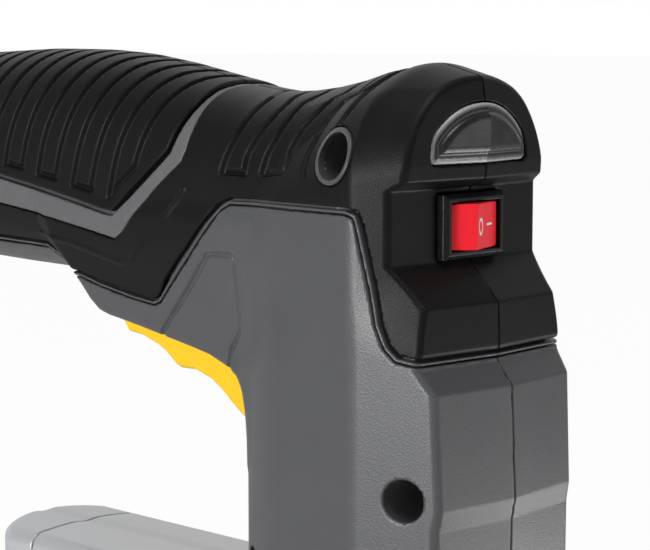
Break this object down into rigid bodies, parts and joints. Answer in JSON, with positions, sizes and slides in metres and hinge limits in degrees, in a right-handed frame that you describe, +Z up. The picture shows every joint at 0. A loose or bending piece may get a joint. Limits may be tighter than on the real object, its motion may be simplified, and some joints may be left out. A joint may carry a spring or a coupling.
{
  "type": "staple gun",
  "caption": "Corded hand staple gun with a rubber-skinned pistol grip, squeeze trigger, rocker switch and work light in the head, and a sliding magazine under the nose.",
  "frame": {"origin": "centre of the nose plate's work face, on the plane where the housing halves meet", "axes": "+Z up, away from the work; the front with the switch and the light faces -Y; the grip and the magazine run towards +Y; X is across the tool"},
  "size_m": [0.0434, 0.1767, 0.1324],
  "materials": {
    "housing_grey": "fine spark-eroded grain",
    "stripe_grey": "satin",
    "rubber_black": "matt soft-touch",
    "black_steel": "black oxide",
    "clear_lens": "clear moulded, satin inside",
    "led_epoxy": "clear epoxy",
    "reflector": "vacuum metallised",
    "switch_black": "satin",
    "brass_contact": "tinned",
    "rocker_red": "satin gloss",
    "trigger_yellow": "satin gloss",
    "bright_steel": "turned",
    "spring_steel": "drawn wire",
    "board_green": "solder mask",
    "capacitor_red": "dipped",
    "sink_aluminium": "as rolled",
    "natural_plastic": "natural",
    "copper_wire": "enamelled copper",
    "zinc_steel": "zinc plated",
    "bumper_rubber": "matt",
    "ground_steel": "ground",
    "silver_paint": "silver satin",
    "staple_wire": "galvanised",
    "latch_black": "fine grain",
    "wire_sheath": "PVC"
  },
  "bodies": {
    "housing": {"right_shell": "housing_grey", "left_shell": "housing_grey", "right_grip": "rubber_black", "left_grip": "rubber_black", "right_stripe": "stripe_grey", "left_stripe": "stripe_grey", "housing_screws": "black_steel", "lens": "clear_lens", "led": "led_epoxy", "led_holder": "reflector", "switch_body": "switch_black", "switch_terminals": "brass_contact", "trigger_pin": "bright_steel", "trigger_spring": "spring_steel", "microswitch": "switch_black", "control_board": "board_green", "board_capacitor": "capacitor_red", "board_triac": "sink_aluminium", "terminal_block": "natural_plastic", "coil_bobbin": "natural_plastic", "coil_winding": "copper_wire", "solenoid_frame": "zinc_steel", "solenoid_top": "zinc_steel", "bumper": "bumper_rubber", "return_spring": "spring_steel", "nose_plate": "ground_steel", "blade_guide": "zinc_steel", "nose_screws": "black_steel", "magazine_cover": "silver_paint", "staple_channel": "zinc_steel", "staple_strip": "staple_wire", "cord_inlet": "bumper_rubber", "cable_clamp": "natural_plastic", "clamp_screws": "bright_steel", "supply_wires": "wire_sheath"},
    "rocker": {"rocker": "rocker_red"},
    "trigger": {"trigger": "trigger_yellow"},
    "microswitch_button": {"microswitch_button": "rocker_red"},
    "driver": {"plunger": "ground_steel", "plunger_collar": "zinc_steel", "driver_blade": "ground_steel", "blade_pin": "bright_steel"},
    "magazine_slide": {"magazine_rail": "zinc_steel", "end_cap": "silver_paint", "spring_rod": "bright_steel", "pusher_spring": "spring_steel", "latch_spring": "spring_steel"},
    "latch": {"latch_button": "latch_black"},
    "pusher": {"pusher": "latch_black"}
  },
  "joints": [
    {"name": "rocker_tilt", "type": "hinge", "parent": "housing", "child": "rocker", "pos_m": [0, -0.0129, 0.104], "axis": [0, 0, -1], "range_deg": [0, 16]},
    {"name": "trigger_squeeze", "type": "hinge", "parent": "housing", "child": "trigger", "pos_m": [0, 0.0625, 0.0868], "axis": [-1, 0, 0], "range_deg": [0, 7], "stiffness_Nm_per_rad": 0.8, "springref_deg": -5.73, "deforming": ["trigger_spring"]},
    {"name": "microswitch_press", "type": "slide", "parent": "housing", "child": "microswitch_button", "axis": [0, 0, 1], "range_m": [0, 0.0018]},
    {"name": "driver_stroke", "type": "slide", "parent": "housing", "child": "driver", "axis": [0, 0, -1], "range_m": [0, 0.0176], "stiffness_N_per_m": 180, "springref_m": -0.006, "deforming": ["return_spring"]},
    {"name": "magazine_draw", "type": "slide", "parent": "housing", "child": "magazine_slide", "axis": [0, 1, 0], "range_m": [0, 0.07]},
    {"name": "latch_press", "type": "slide", "parent": "magazine_slide", "child": "latch", "axis": [0, -1, 0], "range_m": [0, 0.0025], "stiffness_N_per_m": 600, "springref_m": -0.002, "deforming": ["latch_spring"]},
    {"name": "pusher_slide", "type": "slide", "parent": "magazine_slide", "child": "pusher", "axis": [0, 1, 0], "range_m": [0, 0.018], "stiffness_N_per_m": 120, "springref_m": -0.02, "deforming": ["pusher_spring"]}
  ],
  "couplings": [
    {"joint": "microswitch_press", "follows": "trigger_squeeze", "m_per_rad": 0.0145}
  ]
}
